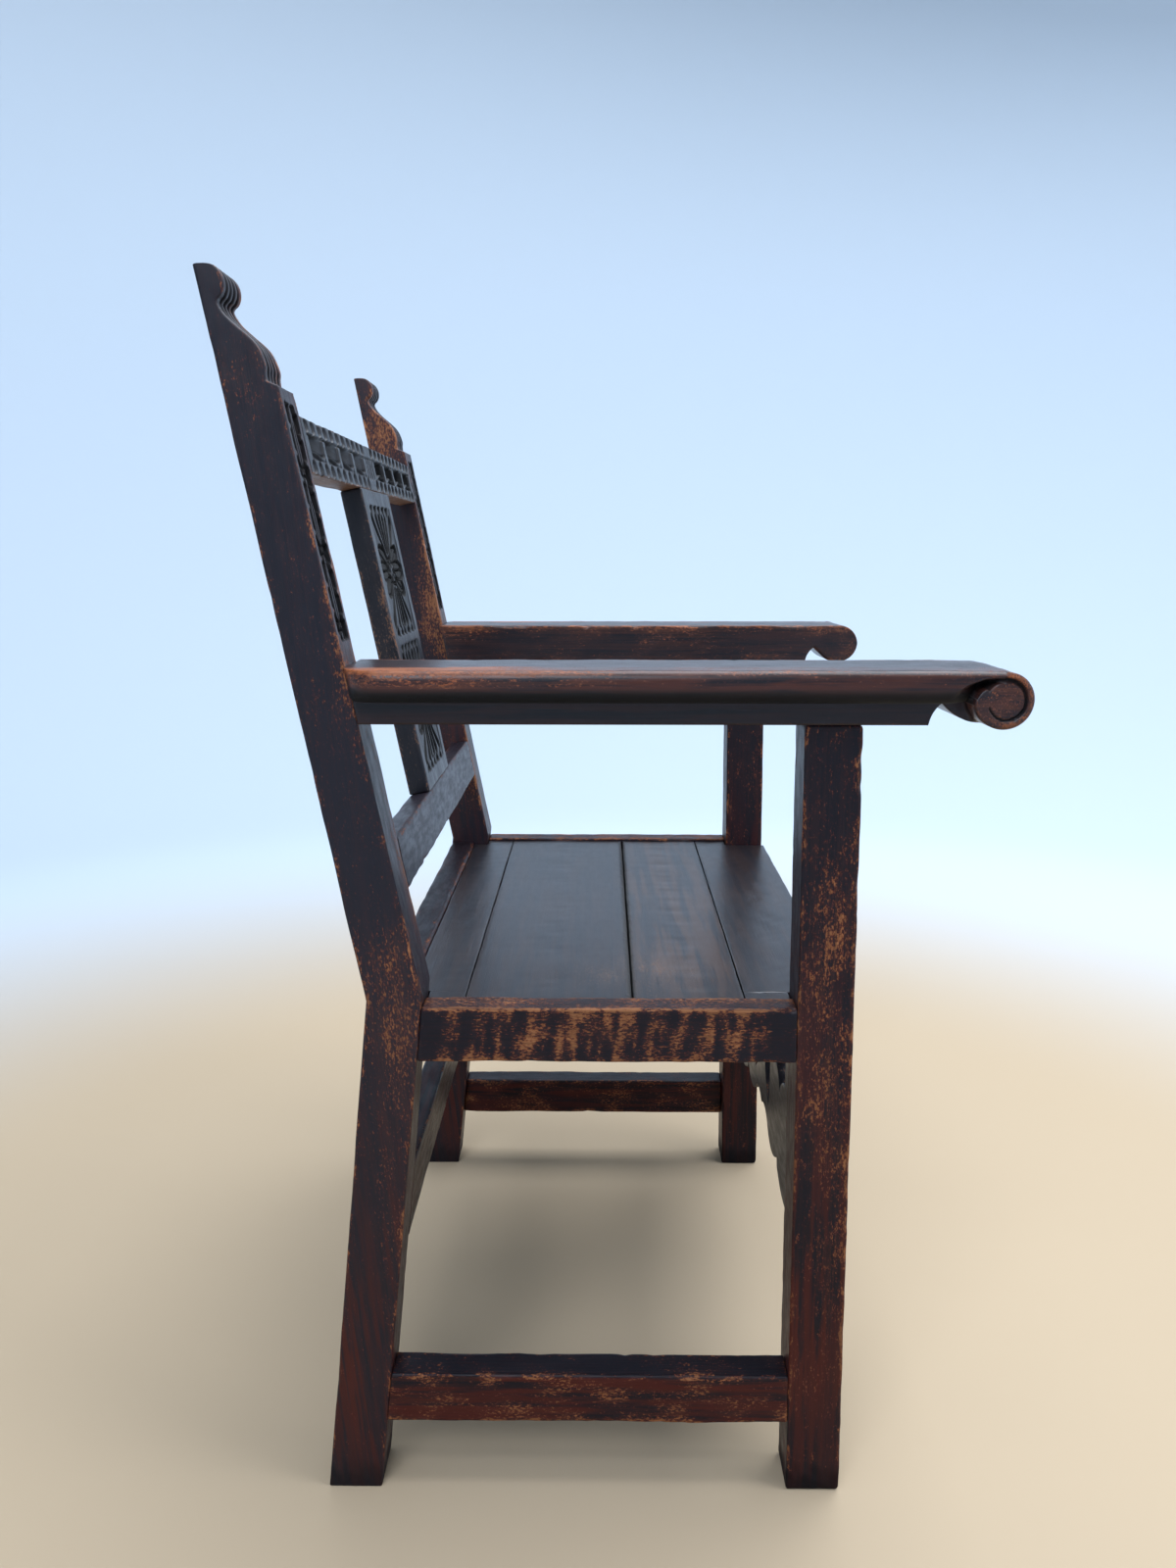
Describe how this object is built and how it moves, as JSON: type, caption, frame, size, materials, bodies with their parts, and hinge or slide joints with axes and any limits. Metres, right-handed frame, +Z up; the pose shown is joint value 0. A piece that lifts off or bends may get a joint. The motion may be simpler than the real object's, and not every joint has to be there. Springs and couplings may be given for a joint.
{
  "type": "armchair",
  "caption": "Carved wooden armchair: raked back with a carved crest rail and splat, flat scrolled arms, plank seat, side and rear stretchers and a pierced front apron.",
  "frame": {"origin": "on the floor, under the middle of the chair's outer box", "axes": "+Z up, the chair faces -Y, +X is the sitter's left"},
  "size_m": [0.672, 0.602, 0.988],
  "materials": {
    "frame_wood": "worn dark stain, satin wax",
    "seat_wood": "worn dark stain, polished by use",
    "raw_wood": "unfinished, aged",
    "iron": "dark wrought iron"
  },
  "bodies": {
    "root": {"rear_post_left": "frame_wood", "rear_post_right": "frame_wood", "front_leg_left": "frame_wood", "front_leg_right": "frame_wood", "arm_left": "frame_wood", "arm_right": "frame_wood", "crest_rail": "frame_wood", "back_splat": "frame_wood", "lower_back_rail": "frame_wood", "seat_side_rail_left": "frame_wood", "seat_side_rail_right": "frame_wood", "seat_rear_rail": "frame_wood", "seat_front_rail": "frame_wood", "side_stretcher_left": "frame_wood", "side_stretcher_right": "frame_wood", "rear_stretcher": "frame_wood", "front_apron": "frame_wood", "seat_board_1": "seat_wood", "seat_board_2": "seat_wood", "seat_board_3": "seat_wood", "seat_board_4": "seat_wood", "seat_cleat_left": "raw_wood", "seat_cleat_right": "raw_wood", "cleat_nails": "iron"}
  },
  "joints": []
}
